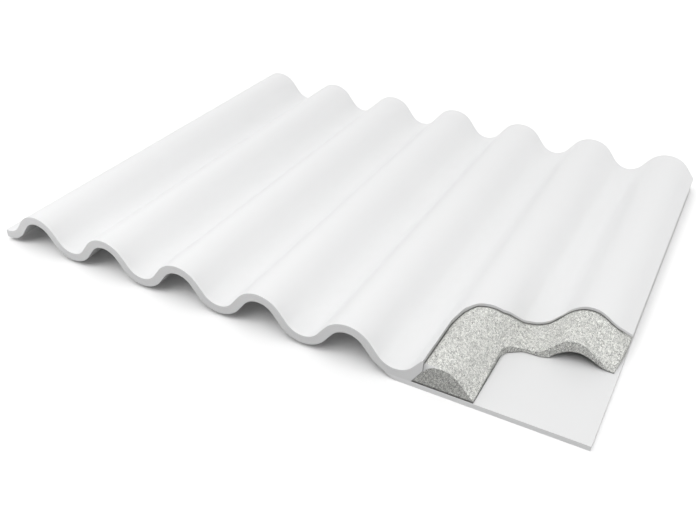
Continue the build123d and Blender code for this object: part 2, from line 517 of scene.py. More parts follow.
def scaled(vector, factor):
    """A vector times a number."""
    return wire(vector.tree, "ShaderNodeVectorMath", {0: vector, "Scale": factor}, operation="SCALE")


def finished(geometry, material):
    """Smooth and real geometry with its material."""
    tree = geometry.tree
    smooth = wire(tree, "GeometryNodeSetShadeSmooth", {0: geometry})
    real = wire(tree, "GeometryNodeRealizeInstances", {0: smooth})
    return wire(tree, "GeometryNodeSetMaterial", {"Geometry": real, "Material": material})


def granules(place, scale, shift):
    """A place among the granules, its distance from a joint and the three chances of its granule."""
    inputs = {0: scaled(place, scale), 1: shift}
    spot = wire(place.tree, "ShaderNodeVectorMath", inputs, operation="ADD")
    inputs = {"Vector": spot, "Scale": 1.0}
    gap = wire(place.tree, "ShaderNodeTexVoronoi", inputs, "Distance", feature="DISTANCE_TO_EDGE")
    chances = split(wire(place.tree, "ShaderNodeTexVoronoi", inputs, "Color", feature="F1"))
    return spot, gap, *chances


def new_tree(name, kind, inputs, outputs):
    """Empty node tree with named sockets, its input wires by name and its output sockets."""
    tree = bpy.data.node_groups.new(name, kind)
    for label, socket in inputs:
        tree.interface.new_socket(label, in_out="INPUT", socket_type=socket)
    for label, socket in outputs:
        tree.interface.new_socket(label, in_out="OUTPUT", socket_type=socket)
    return tree, wires(tree, "NodeGroupInput"), tree.nodes.new("NodeGroupOutput").inputs


def shaped(piece, tree, values):
    """Runs a node tree on a piece and keeps the result as its plain mesh."""
    modifier = piece.modifiers.new(tree.name, "NODES")
    modifier.node_group = tree
    for item in tree.interface.items_tree:
        if item.in_out == "INPUT" and item.name in values:
            modifier[item.identifier] = values[item.name]
    return settled(piece)


def settled(piece):
    """Turns the piece with its modifiers into a plain mesh."""
    bpy.context.view_layer.update()
    graph = bpy.context.evaluated_depsgraph_get()
    final = piece.evaluated_get(graph)
    mesh = bpy.data.meshes.new_from_object(final, preserve_all_data_layers=True, depsgraph=graph)
    old = piece.data
    piece.modifiers.clear()
    piece.data = mesh
    bpy.data.meshes.remove(old)
    mesh.name = piece.name
    return piece


def new_piece(name, places, faces):
    """New mesh object at the origin."""
    mesh = bpy.data.meshes.new(name)
    mesh.from_pydata([tuple(place) for place in places], [], [tuple(face) for face in faces])
    mesh.update()
    piece = bpy.data.objects.new(name, mesh)
    bpy.context.scene.collection.objects.link(piece)
    return piece


def eased(piece, radius, angle, plain, share=lambda spot: 1.0):
    """Rounds the sharp edges of a piece, except plain ones, and keeps the large faces flat."""
    form = bmesh.new()
    form.from_mesh(piece.data)
    layer = form.edges.layers.float.new("bevel_weight_edge")
    for edge in form.edges:
        sharp = edge.calc_face_angle(0.0) > math.radians(angle)
        middle = (edge.verts[0].co + edge.verts[1].co) / 2
        edge[layer] = share(middle) if sharp and not plain(middle) else 0.0
        edge.smooth = not (sharp and plain(middle))
    form.to_mesh(piece.data)
    form.free()
    bevel = piece.modifiers.new("Eased edges", "BEVEL")
    bevel.width = radius
    bevel.segments = 2
    bevel.limit_method = "WEIGHT"
    bevel.harden_normals = True
    return settled(piece)


# Node trees of the top sheet and of the core

FLOAT = "NodeSocketFloat"
COLOUR = "NodeSocketColor"
GEOMETRY = "NodeSocketGeometry"
MATERIAL = "NodeSocketMaterial"
WAVE_INPUTS = ("Across", "Pitch", "Depth", "Flank", "First crest", "Trough", "Lift")

# Inputs of the sheet's tree: from the sheet's settings, from the layout, and worked out when it is pressed
SHEET_SIZES = ("Pitch", "Depth", "Flank", "Wall", "Skin crest", "Skin trough", "Skin side")
SHEET_SIZES += ("Lip slope", "Front extra", "Front taper")
LAYOUT_SIZES = ("First crest", "Side start", "Side end", "Step start", "Step end")
LAYOUT_SIZES += ("Foot start", "Foot left", "Foot level", "Front")
OTHER_SIZES = ("Trough", "Foot slope", "Lip end", "Cut start")


def named(source, labels):
    """Values of the source's own fields, by their labels."""
    return {label: getattr(source, label.lower().replace(" ", "_")) for label in labels}


def wave_tree():
    """Node group: height of one face of the wave at a place across the sheet."""
    inputs = [(name, FLOAT) for name in WAVE_INPUTS]
    tree, given, made = new_tree("Wave height", "GeometryNodeTree", inputs, [("Height", FLOAT)])
    across, pitch, depth, flank, first_crest, trough, lift = (given[name] for name in WAVE_INPUTS)
    half = pitch * 0.5
    bend = (half * half + depth * depth - flank * flank) / (depth * 4.0)
    double = bend * 2.0
    angle = calc("ARCTAN2", half, double - depth) - calc("ARCTAN2", flank, double)
    sine = calc("SINE", angle)
    crest_radius = bend + lift
    trough_radius = bend - lift
    crest_half = crest_radius * sine
    trough_half = trough_radius * sine
    away = abs(calc("FLOORED_MODULO", across - first_crest + half, pitch) - half)
    short = half - away

    def arc(radius, offset):
        """Height of an arc above its centre."""
        return calc("SQRT", calc("MAXIMUM", radius * radius - offset * offset, 0.0))

    crest_centre = trough + depth - bend
    crest_height = crest_centre + arc(crest_radius, away)
    trough_height = trough + bend - arc(trough_radius, short)
    flank_top = crest_centre + crest_radius * calc("COSINE", angle)
    flank_height = flank_top - (away - crest_half) * calc("TANGENT", angle)
    lower = choose(short < trough_half, trough_height, flank_height)
    feed(tree, made["Height"], choose(away < crest_half, crest_height, lower))
    return tree


def sheet_tree():
    """Node tree: presses a flat blank into waves and gives it its thickness."""
    sizes = [(name, FLOAT) for name in SHEET_SIZES + LAYOUT_SIZES + OTHER_SIZES]
    inputs = [("Blank", GEOMETRY), *sizes, ("Finish", MATERIAL)]
    tree, given, made = new_tree("Corrugated sheet", "GeometryNodeTree", inputs, [("Sheet", GEOMETRY)])
    wave = wave_tree()
    across, along, level = split(wire(tree, "GeometryNodeInputPosition"))

    def face(where, lift):
        """Height of one face of the wave."""
        values = {name: given[name] for name in WAVE_INPUTS[1:-1]}
        return wire(tree, "GeometryNodeGroup", {"Across": where, **values, "Lift": lift}, node_tree=wave)

    lift = given["Wall"] * 0.5
    behind = (along - given["Front"]) / given["Front taper"]
    beside = (given["Foot start"] - across) / FRONT_FADE
    taper = calc("MAXIMUM", 1.0 - behind, 0.0) * calc("MINIMUM", calc("MAXIMUM", beside, 0.0), 1.0)
    drop = (taper * given["Front extra"] + lift) * -1.0
    upper = face(across, lift)
    open_under = face(across, drop)
    low = given["Trough"] + lift

    def skin(where, height):
        """Under side of the skin over the core."""
        share = (height - low) / given["Depth"]
        beside = soft_step(where, given["Side start"], given["Side end"], given["Skin side"], 0.0)
        return height - (choose(share, given["Skin crest"], given["Skin trough"]) + beside)

    start, end, foot = given["Step start"], given["Step end"], given["Foot level"]
    share = (across - start) / (end - start)
    ramp = choose(share, skin(end, face(end, lift)), foot)
    flat = calc("MAXIMUM", given["Foot left"] - across, 0.0) * given["Foot slope"] + foot
    lip = (across - start) * given["Lip slope"] + foot
    past_start = share > 0.0
    in_lip = past_start * (along < given["Lip end"])
    under = choose(past_start, ramp, choose(across > given["Foot start"], flat, open_under))
    under = choose(in_lip, lip, choose(share > 1.0, skin(across, upper), under))
    rise = choose(level, upper, under)

    lifted = {"Mesh": given["Blank"], "Offset": (0.0, 0.0, 1.0), "Individual": False}
    thick = wires(tree, "GeometryNodeExtrudeMesh", lifted)
    # Painted shade: side faces behind the front edge and right of where the cut starts, in the cut-away
    # corner and along the right and far edges there, are marked to be drawn darker
    inside = (along > given["Front"] + 0.001) * (across > given["Cut start"])
    marks = {"Geometry": thick["Mesh"], "Selection": thick["Side"], "Name": "sawn", "Value": inside}
    sawn = wire(tree, "GeometryNodeStoreNamedAttribute", marks, data_type="FLOAT", domain="FACE")
    join = add_node(tree, "GeometryNodeJoinGeometry", {0: sawn})
    feed(tree, join.inputs[0], wire(tree, "GeometryNodeFlipFaces", {"Mesh": given["Blank"]}))
    parts = Wire(tree, join.outputs[0])
    whole = wire(tree, "GeometryNodeMergeByDistance", {"Geometry": parts, "Distance": 0.00002})
    target = wire(tree, "ShaderNodeCombineXYZ", {0: across, 1: along, 2: rise})
    pressed = wire(tree, "GeometryNodeSetPosition", {"Geometry": whole, "Position": target})
    feed(tree, made["Sheet"], finished(pressed, given["Finish"]))
    return tree


def granule_tree():
    """Node tree: raises bonded granules on the open faces of the core."""
    joint_width = 0.32
    unevenness = 0.8
    sizes = [(name, FLOAT) for name in ("Grain", "Relief", "Seed")]
    inputs = [("Core", GEOMETRY), *sizes, ("Finish", MATERIAL)]
    tree, given, made = new_tree("Bonded granules", "GeometryNodeTree", inputs, [("Core", GEOMETRY)])
    place = wire(tree, "GeometryNodeInputPosition")
    shift = wire(tree, "ShaderNodeCombineXYZ", {axis: given["Seed"] for axis in range(3)})
    _, gap, _, chance, _ = granules(place, 1.0 / given["Grain"], shift)
    joint = soft_step(gap, 0.0, joint_width, -1.0, 0.0)
    height = (joint + (chance - 0.5) * unevenness) * given["Relief"]
    opened = wire(tree, "GeometryNodeInputNamedAttribute", {"Name": "open_face"}, data_type="FLOAT")
    offset = scaled(wire(tree, "GeometryNodeInputNormal"), height * opened)
    raised = wire(tree, "GeometryNodeSetPosition", {"Geometry": given["Core"], "Offset": offset})
    feed(tree, made["Core"], finished(raised, given["Finish"]))
    return tree


# Finishes


def new_material(name):
    """Material with a Principled BSDF, its tree and that shader."""
    material = bpy.data.materials.new(name)
    material.use_nodes = True
    tree = material.node_tree
    return material, tree, tree.nodes["Principled BSDF"]


def mixed(share, first, second):
    """The first colour where the share is 0 and the second where it is 1."""
    return wire(share.tree, "ShaderNodeMix", {0: share, 6: first, 7: second}, 2, data_type="RGBA")


def dimmed(tone, shade):
    """A colour times a number."""
    inputs = {0: 1.0, 6: tone, 7: shade}
    return wire(tone.tree, "ShaderNodeMix", inputs, 2, data_type="RGBA", blend_type="MULTIPLY")


def noise(place, scale, detail, distortion=0.0):
    """Soft noise about 0.5."""
    inputs = {"Vector": place, "Scale": scale, "Detail": detail, "Distortion": distortion}
    return wire(place.tree, "ShaderNodeTexNoise", inputs)


def layer(tree, name):
    """A layer of numbers that the mesh carries."""
    return wire(tree, "ShaderNodeAttribute", output="Fac", attribute_name=name)


def bumped(shader, height, strength, distance):
    """Gives a shader fine relief."""
    inputs = {"Height": height, "Strength": strength, "Distance": distance}
    feed(height.tree, shader.inputs["Normal"], wire(height.tree, "ShaderNodeBump", inputs))


def drawn_plastic_group():
    """Shader group: faint draw lines, mottling and orange peel of an extruded plastic sheet."""
    name = "Drawn plastic"
    if name in bpy.data.node_groups:
        return bpy.data.node_groups[name]
    inputs = [("Tone", COLOUR), ("Mottle", FLOAT), ("Shine", FLOAT), ("Lines", FLOAT)]
    outputs = [("Colour", COLOUR), ("Roughness", FLOAT), ("Height", FLOAT)]
    tree, given, made = new_tree(name, "ShaderNodeTree", inputs, outputs)
    place = wire(tree, "ShaderNodeTexCoord", output="Object")
    drawn = wire(tree, "ShaderNodeMapping", {"Vector": place, "Scale": (420.0, 3.0, 420.0)})
    lines = noise(drawn, scale=1.0, detail=3.0) - 0.5
    cloud = noise(place, scale=9.0, detail=4.0) - 0.5
    peel = noise(place, scale=520.0, detail=2.0) - 0.5
    shade = (lines * 0.35 + cloud) * given["Mottle"] + 1.0
    feed(tree, made["Colour"], dimmed(given["Tone"], shade))
    feed(tree, made["Roughness"], lines * 0.08 + (cloud * 0.16 + given["Shine"]))
    feed(tree, made["Height"], lines * given["Lines"] + peel)
    return tree


def plastic_finish(name, tone, mottle, shine, painted_shading_scale):
    """Satin white plastic."""
    material, tree, shader = new_material(name)
    inputs = {"Tone": (*tone, 1.0), "Mottle": mottle, "Shine": shine, "Lines": 1.2}
    drawn = wires(tree, "ShaderNodeGroup", inputs, node_tree=drawn_plastic_group())
    # Painted light and shade carried by the mesh: positive values darken the colour, negative ones lighten it
    shade = layer(tree, "sawn") * -painted_shading_scale + 1.0
    feed(tree, shader.inputs["Base Color"], dimmed(drawn["Colour"], shade))
    feed(tree, shader.inputs["Roughness"], drawn["Roughness"])
    bumped(shader, drawn["Height"], strength=0.08, distance=0.0004)
    shader.inputs["IOR"].default_value = 1.45
    return material


def granule_finish(core, patch_tone):
    """Bonded pale granules with thin dark joints that come and go."""
    joint_width = 0.27
    bend_width = 0.06
    ramp_stops = (0.30, 0.62)
    material, tree, shader = new_material("bonded_granules")
    place = wire(tree, "ShaderNodeTexCoord", output="Object")
    spot, gap, paler, gap_chance, worm_chance = granules(place, 1.0 / core.grain, [float(core.seed)] * 3)
    worms = abs(noise(spot, scale=1.3, detail=1.0, distortion=0.6) - 0.5)
    cloud = noise(spot, scale=0.2, detail=3.0)
    fine = noise(spot, scale=2.6, detail=2.0)
    tones = add_node(tree, "ShaderNodeValToRGB", {"Fac": fine * 0.4 + (cloud * 0.3 + paler * 0.3)})
    for stop, position, tone in zip(tones.color_ramp.elements, ramp_stops, (core.grey, core.pale)):
        stop.position = position
        stop.color = (*tone, 1.0)
    cut = layer(tree, "cut_face")
    gaps = soft_step(gap, 0.0, joint_width, 1.0, 0.0) * gap_chance
    bends = soft_step(worms, 0.0, bend_width, 1.0, 0.0) * worm_chance
    joint = calc("MAXIMUM", gaps, bends) * (cut * 0.1 + 0.9)
    # Painted shade: the cut faces are drawn darker on average, with a stronger speckle
    cut_shade_and_speckle = cut * (fine * 2.1 - 1.19) + 1.0
    # Painted shade layer: dark lines along the top sheet's edge and at the feet of the faces, and darker
    # faces beside the front one
    shade = cut_shade_and_speckle * (layer(tree, "dark_line") * -0.8 + 1.0)
    grains = mixed(joint, Wire(tree, tones.outputs[0]), (*core.joint, 1.0))
    # Patch of painted shade: the sheet's white, dimmed, plain over the granules on the worn edge beside the
    # lip
    patched = mixed(layer(tree, "smear"), dimmed(grains, shade), (*patch_tone, 1.0))
    feed(tree, shader.inputs["Base Color"], patched)
    shader.inputs["Roughness"].default_value = 0.9
    bumped(shader, joint * -1.0, strength=0.4, distance=0.0005)
    return material


# Pieces


def settings_of(context):
    """Settings and the layout that follows from them."""
    settings = context.scene.roof_sheet
    return settings, Layout(settings)


class ROOFSHEET_OT_top_sheet(bpy.types.Operator):
    """Press the waved top sheet with its cut-away corner"""

    bl_idname = "roof_sheet.top_sheet"
    bl_label = "Top sheet"

    def execute(self, context):
        settings, layout = settings_of(context)
        sheet = settings.sheet
        cut = spaced(layout.sheet_cut, SHEET_STEP)
        stops = [layout.left - sheet.left_reach, layout.foot_start, layout.foot_left]
        stops += [layout.step_start, layout.step_end, cut[0, 0]]
        columns = runs_between(stops, SHEET_STEP)
        lip_end = layout.front + sheet.lip_depth
        front_rows = runs_between([layout.front, lip_end - 0.0001, lip_end + 0.0003, cut[0, 1]], SHEET_ROW)
        starts = np.concatenate((np.full(len(columns), cut[0, 1]), cut[1:, 1]))
        shares = np.linspace(0.0, 1.0, SHEET_ROWS)
        back_rows = starts[:, None] + shares[None, :] * (layout.far - starts[:, None])
        blank = Blank(columns, cut, front_rows, back_rows)
        places = np.column_stack((blank.places, np.zeros(len(blank.places))))
        piece = new_piece("waved_top_sheet", places, blank.faces())
        # Painted shade on the faces of the cut-away corner
        tint = sheet.painted_shading_scale
        finish = plastic_finish("satin_white_sheet", sheet.tone, mottle=0.02, shine=0.42, painted_shading_scale=tint)
        values = {
            **named(sheet, SHEET_SIZES),
            **named(layout, LAYOUT_SIZES),
            "Trough": layout.sheet_seat,
            "Foot slope": math.tan(layout.foot_angle),
            "Lip end": lip_end,
            "Cut start": cut[0, 0] - 0.0005,
            "Finish": finish,
        }
        shaped(piece, sheet_tree(), values)

        def plain(spot):
            """True inside the lip and where the foot meets the base."""
            behind_lip = layout.front + 0.001 < spot.y < lip_end + 0.001
            on_foot = spot.z < layout.foot_level + 0.0004 and spot.x > layout.foot_left - 0.001
            return on_foot or (behind_lip and spot.x > layout.foot_left)

        eased(piece, sheet.edge, angle=38, plain=plain)
        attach(piece, "root")
        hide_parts("corrugated_top_sheet")
        return {"FINISHED"}


def higher(first, second, blend):
    """The higher of two heights, with the crease between them rounded."""
    near = max(blend - abs(first - second), 0.0) / blend
    return max(first, second) + near**2 * blend / 4


def crowned(x, top, radius, flank):
    """Height of a round crown with straight flanks, x away from its middle."""
    angle = math.radians(flank)
    side = radius * math.sin(angle)
    if abs(x) < side:
        return top - radius + math.sqrt(radius**2 - x**2)
    return top - radius * (1.0 - math.cos(angle)) - (abs(x) - side) * math.tan(angle)


class CoreForm:
    """Upper and lower faces of the core."""

    # Start and end of the wear below the sheet's lip, back from the front edge, and how far right it holds
    lip_wear = (0.0023, 0.0031)
    lip_band = 0.0003

    # Start of the bank right of the first cored crest, and its end left of the last one
    bank_start = 0.042
    bank_end = 0.074

    # Start and end of the fall, right of the last crest
    right_fall = (0.010, 0.040)

    # Rounding of the creases beside the valley, beside the last rise and below the wave
    valley_crease = 0.010
    rise_crease = 0.008
    wave_crease = 0.004

    # Share of the rim's reach that is left at the front edge, and how far back it is whole
    least_reach = 0.2
    reach_run = 0.06

    # Groove along the sheet's edge: its depth, its painted shade, which also scales the depth, how that
    # fades, and its start and end at the front
    rim_groove = 0.0008
    groove_shade = 0.78
    groove_fade = 0.8
    groove_run = (0.003, 0.007)

    # Where the patch of painted shade starts and ends to fade, behind the front edge and right of the lip
    patch_back = (0.002, 0.004)
    patch_right = (0.010, 0.024)

    # Least height of the core, and slope of the dome's steep left flank in degrees
    least_height = 0.0006
    steep_flank = 89.0

    # Fullness of the arch: a lower power is rounder
    left_fullness = 0.38
    right_fullness = 1.0

    def __init__(self, settings, layout):
        core = settings.core
        self.core = core
        self.layout = layout
        seat = layout.seat
        self.join = layout.step_end + settings.sheet.glue_gap
        self.dome_x = layout.core_crest - core.dome_shift
        self.dome_top = seat + core.dome_height
        self.shoulder_x = layout.last_crest - core.shoulder_shift
        self.shoulder_top = seat + core.shoulder_height
        self.valley = seat - core.scoop_trough
        self.arch_x = layout.last_crest - core.arch_shift
        self.lip_x = layout.core_crest + SHEET_CUT[0][0] * MM
        self.front = CORE_LOW.y - core.front_reach

    def worn(self, x, y):
        """0 on the worn front edge and below the top sheet's lip, 1 further back."""
        below_lip = x < self.lip_x + self.lip_band
        start, end = self.lip_wear if below_lip else (0.0, self.core.worn_depth)
        return eased_step(y - self.front, start, end)

    def dome(self, x, y):
        """Scooped dome below the first cored wave, worn at its front edge."""
        core = self.core
        away = x - self.dome_x
        if away > 0.0:
            return crowned(away, self.dome_top, core.dome_right_radius, core.dome_flank)
        full = crowned(away, self.dome_top, core.dome_left_radius, self.steep_flank)
        worn = crowned(away, self.dome_top, core.worn_radius, core.worn_flank)
        return worn + (full - worn) * self.worn(x, y)

    def scoop(self, x, y):
        """Scooped surface: a dome, a valley and a last rise, all climbing from the front edge."""
        core = self.core
        layout = self.layout
        level = self.dome(x, y)
        if x > self.dome_x:
            beside = x - layout.core_crest
            bank_end = layout.last_crest - layout.core_crest - self.bank_end
            bank = core.scoop_bank * (1.0 - eased_step(beside, self.bank_start, bank_end))
            fall = core.scoop_fall * eased_step(x - layout.last_crest, *self.right_fall)
            rise = crowned(x - self.shoulder_x, self.shoulder_top, core.shoulder_radius, core.shoulder_flank)
            level = higher(level, self.valley + bank - fall, self.valley_crease)
            level = higher(level, rise, self.rise_crease)
        return level + core.scoop_slope * (y - layout.front)

    def top(self, x, y, from_rim):
        """Upper face: the core's own wave, or the scoop where that lies lower away from the rim."""
        layout = self.layout
        if x < self.join:
            share = (x - CORE_LOW.x) / (self.join - CORE_LOW.x)
            wave = layout.seat + share * (layout.core_top(self.join) - layout.seat)
        else:
            wave = layout.core_top(x)
        lower = -higher(-wave, -self.scoop(x, y), self.wave_crease)
        whole = eased_step(y - self.front, 0.0, self.reach_run)
        reach = self.core.rim_reach * (self.least_reach + (1.0 - self.least_reach) * whole)
        lift = 1.0 - eased_step(from_rim, 0.0, reach)
        lower += (wave - lower) * lift * self.worn(x, y)
        return max(lower - self.rim_groove * self.rim_shade(y, from_rim), layout.seat + self.least_height)

    def rim_shade(self, y, from_rim):
        """Painted shade along the top sheet's edge, which also scales the groove's depth there, 0 away from
        it and at the front edge.
        """
        line = max(1.0 - from_rim / self.core.rim_line, 0.0)
        return self.groove_shade * line**self.groove_fade * eased_step(y - self.front, *self.groove_run)

    def smear(self, x, y):
        """1 on the worn edge beside the top sheet's lip, where a plain patch of painted shade, the sheet's
        dimmed white, covers the granules.
        """
        near_front = 1.0 - eased_step(y - self.front, *self.patch_back)
        near_lip = 1.0 - eased_step(x - self.lip_x, *self.patch_right)
        return near_front * near_lip

    def bottom(self, x):
        """Lower face: flat on the base, arched below the last wave."""
        core = self.core
        away = x - self.arch_x
        half, power = (core.arch_left, self.left_fullness)
        if away > 0.0:
            half, power = (core.arch_right, self.right_fullness)
        if abs(away) >= half:
            return self.layout.seat
        swell = 0.5 + 0.5 * math.cos(math.pi * away / half)
        return self.layout.seat + core.arch_crown * swell**power


class ROOFSHEET_OT_core(bpy.types.Operator):
    """Cut the granular core with its scooped top and its arch"""

    bl_idname = "roof_sheet.core"
    bl_label = "Granular core"

    # Rows of points down the side faces, on the open strip and further back
    wall_rows = 24
    fine_rows = 100
    coarse_rows = 22

    # Open strip: how far its fine mesh runs on below the sheet, its least length, the steps along its rim
    past_rim = 0.006
    least_run = 0.008
    rim_step = 0.0006

    # Side faces: depth of the front zone, and height of a face that has its full relief
    front_zone = 0.004
    relief_height = 0.006

    # Tuck at the foot: its height, that height's largest share of the face, and its depth as a share of it
    tuck_height = 0.003
    tuck_share = 0.4
    tuck_depth = 0.6

    # Painted shade at the foot, a dark line for a contact shadow: its strength at the front and on the cut
    # faces, and how it fades
    front_dark = 1.18
    cut_dark = 1.0
    dark_fade = 0.6

    # Tone of the patch of painted shade, as a share of the sheet's tone
    patch_shade = 0.82

    def execute(self, context):
        settings, layout = settings_of(context)
        core = settings.core
        form = CoreForm(settings, layout)
        blank, shown_until = self.blank(core, layout)
        flat = self.fitted(form, blank.places)
        rim = self.rim_distances(layout, flat)
        heights = [form.top(x, y, gap) for (x, y), gap in zip(flat, rim)]
        places = list(np.column_stack((flat, heights)))
        faces = list(blank.faces())
        open_face = [1.0 if y < end else 0.0 for (_, y), end in zip(flat, shown_until)]
        cut_face = [0.0] * len(places)
        # Painted shade: a dark line on the upper face along the top sheet's edge
        dark_line = [form.rim_shade(y, gap) for (_, y), gap in zip(flat, rim)]
        smear = [form.smear(x, y) for x, y in flat]
        layers = {"open_face": open_face, "cut_face": cut_face, "dark_line": dark_line, "smear": smear}
        rings = self.walls(form, blank, places, faces, layers)
        self.underside(blank, rings, faces)
        piece = new_piece("granular_core", places, faces)
        for name, values in layers.items():
            stored = piece.data.attributes.new(name, "FLOAT", "POINT")
            stored.data.foreach_set("value", np.array(values, np.float32))
        patch_tone = [self.patch_shade * value for value in settings.sheet.tone]
        values = {
            **named(core, ("Grain", "Relief")),
            "Seed": float(core.seed),
            "Finish": granule_finish(core, patch_tone),
        }
        shaped(piece, granule_tree(), values)
        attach(piece, "root")
        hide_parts("insulation_core")
        return {"FINISHED"}

    def blank(self, core, layout):
        """Grid of the core, fine where it lies open, and where each point's column goes under the sheet."""
        step = core.mesh_step
        cut = spaced(cut_line(CORE_CUT, core.cut_radius, layout, CORE_HIGH.x), step)
        columns = runs_between([CORE_LOW.x, cut[0, 0]], step)
        front_rows = runs_between([CORE_LOW.y, cut[0, 1]], step)
        sheet_cut = layout.sheet_cut
        all_columns = np.concatenate((columns, cut[1:, 0]))
        starts = np.concatenate((np.full(len(columns), cut[0, 1]), cut[1:, 1]))
        ends = np.interp(all_columns, sheet_cut[:, 0], sheet_cut[:, 1], left=layout.front)
        ends = np.maximum(ends + self.past_rim, starts + self.least_run)
        fine = np.linspace(0.0, 1.0, self.fine_rows)
        coarse = np.linspace(0.0, 1.0, self.coarse_rows)[1:]
        back_rows = np.concatenate(
            (
                starts[:, None] + fine[None, :] * (ends - starts)[:, None],
                ends[:, None] + coarse[None, :] * (CORE_HIGH.y - ends)[:, None],
            ),
            axis=1,
        )
        blank = Blank(columns, cut, front_rows, back_rows)
        limits = np.interp(blank.places[:, 0], all_columns, ends)
        return blank, limits

    def fitted(self, form, flat):
        """The grid with its front edge drawn forward and its right end drawn out below the sheet's edge."""
        forward_fade = 0.015
        least, gain = 0.0026, 0.0056
        cut_back, cut_run = 0.148, 0.047
        right_zone = 0.05
        back_fade = (0.23, 0.30)
        moved = []
        for x, y in flat:
            back = y - form.layout.front
            ahead = (CORE_LOW.y - form.front) * max(1.0 - (y - CORE_LOW.y) / forward_fade, 0.0)
            reach = least + gain * min(max((back - cut_back) / cut_run, 0.0), 1.0)
            reach *= eased_step(x, CORE_HIGH.x - right_zone, CORE_HIGH.x)
            reach *= 1.0 - eased_step(back, *back_fade)
            moved.append((x + reach, y - ahead))
        return np.array(moved)

    def rim_distances(self, layout, flat):
        """Distance in plan of each point from the edge of the top sheet's cut, 0 below the sheet."""
        cut = layout.sheet_cut
        line = spaced(np.vstack(((cut[0, 0], layout.front), cut)), self.rim_step)
        tree = KDTree(len(line))
        for number, (x, y) in enumerate(line):
            tree.insert((x, y, 0.0), number)
        tree.balance()
        edge_y = np.interp(flat[:, 0], cut[:, 0], cut[:, 1], left=-9.0)
        gaps = []
        for (x, y), edge in zip(flat, edge_y):
            covered = x < cut[0, 0] or y > edge
            gaps.append(0.0 if covered else tree.find((x, y, 0.0))[2])
        return gaps

    def walls(self, form, blank, places, faces, layers):
        """Side faces from the upper face down to the base, tucked in a little at the foot."""
        border = blank.border()
        count = len(border)
        outline = np.array([places[index][:2] for index in border])
        along = np.roll(outline, -1, axis=0) - np.roll(outline, 1, axis=0)
        outward = np.column_stack((along[:, 1], -along[:, 0]))
        outward /= np.linalg.norm(outward, axis=1)[:, None]
        rings = [border]
        for row in range(1, self.wall_rows + 1):
            share = row / self.wall_rows
            ring = []
            for number, index in enumerate(border):
                x, y, top = places[index]
                bottom = form.bottom(x)
                tall = top - bottom
                from_foot = (1.0 - share) * tall
                at_front = y < form.layout.front + self.front_zone
                reach = min(self.tuck_height, self.tuck_share * tall)
                tuck = 0.0 if at_front else self.tuck_depth * reach * max(0.0, 1.0 - from_foot / reach) ** 2
                spot = outline[number] - outward[number] * tuck
                ring.append(len(places))
                places.append(np.array((spot[0], spot[1], top - share * tall)))
                shown = 0.0 if row == self.wall_rows else min(1.0, tall / self.relief_height)
                layers["open_face"].append(shown)
                layers["cut_face"].append(1.0)
                layers["smear"].append(0.0)
                # Painted shade: a dark line at the foot of each face for a contact shadow, and every face but
                # the front one drawn at least a little darker
                line = form.core.front_line if at_front else form.core.foot_line
                least = 0.0 if at_front else form.core.arch_shade
                most = self.front_dark if at_front else self.cut_dark
                dark = most * max(1.0 - from_foot / line, 0.0) ** self.dark_fade
                layers["dark_line"].append(max(dark, least))
            rings.append(ring)
        for upper, lower in zip(rings, rings[1:]):
            for number in range(count):
                after = (number + 1) % count
                faces.append((upper[after], upper[number], lower[number], lower[after]))
        return rings

    def underside(self, blank, rings, faces):
        """Strips from the front to the far edge, which share the points of the side faces' feet."""
        foot = dict(zip(rings[0], rings[-1]))
        last = len(blank.columns) - 1
        front = blank.front_count
        far = blank.row_count

        def feet(column, rows):
            """Points at the foot of one column."""
            return [foot[blank.index[column, row]] for row in rows]

        for column in range(last):
            right = column + 1
            left_rows = (0 if column < blank.corner else front, far)
            right_rows = (far, 0 if right < blank.corner else front)
            if column == 0:
                left_rows = range(far + 1)
            if right == blank.corner:
                right_rows = (far, *range(front, -1, -1))
            if right == last:
                right_rows = range(far, front - 1, -1)
            faces.append((*feet(column, left_rows), *feet(right, right_rows)))


